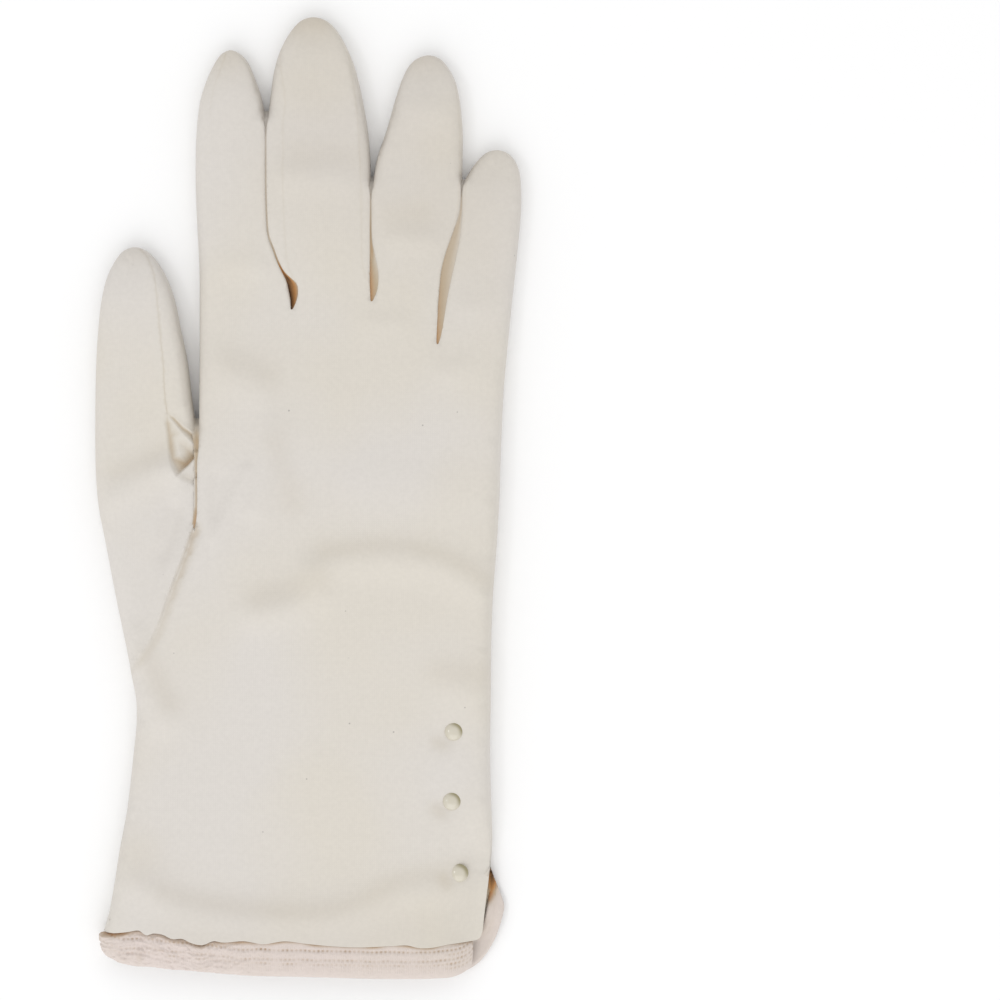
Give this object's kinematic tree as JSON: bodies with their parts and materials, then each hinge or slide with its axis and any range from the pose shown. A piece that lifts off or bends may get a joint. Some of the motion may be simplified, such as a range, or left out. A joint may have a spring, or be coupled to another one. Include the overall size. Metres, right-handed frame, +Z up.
{
  "type": "silk glove",
  "caption": "Right-hand wrist-length dress glove of fine knitted silk, lying flat with its back up: fingers, set-in thumb, side vent with pearl buttons and a ribbed hem.",
  "frame": {"origin": "middle of the glove's outline, on the surface that it lies on", "axes": "+X across the hand to the little finger, +Y from the hem to the fingertips, +Z up out of the back of the hand"},
  "size_m": [0.1149, 0.259, 0.0118],
  "materials": {
    "silk_jersey": "fine matt knitted silk, ivory",
    "gusset_silk": "fine matt knitted silk, shaded ivory",
    "ribbed_band": "ribbed knit with rows of small stitches",
    "pearl": "pearly cream gloss"
  },
  "bodies": {
    "root": {"hand": "silk_jersey", "thumb": "silk_jersey", "thumb_gusset": "gusset_silk", "fourchette_index_middle": "gusset_silk", "fourchette_middle_ring": "gusset_silk", "fourchette_ring_little": "gusset_silk", "hem_band": "ribbed_band", "pearl_button_1": "pearl", "pearl_button_2": "pearl", "pearl_button_3": "pearl"}
  },
  "joints": []
}
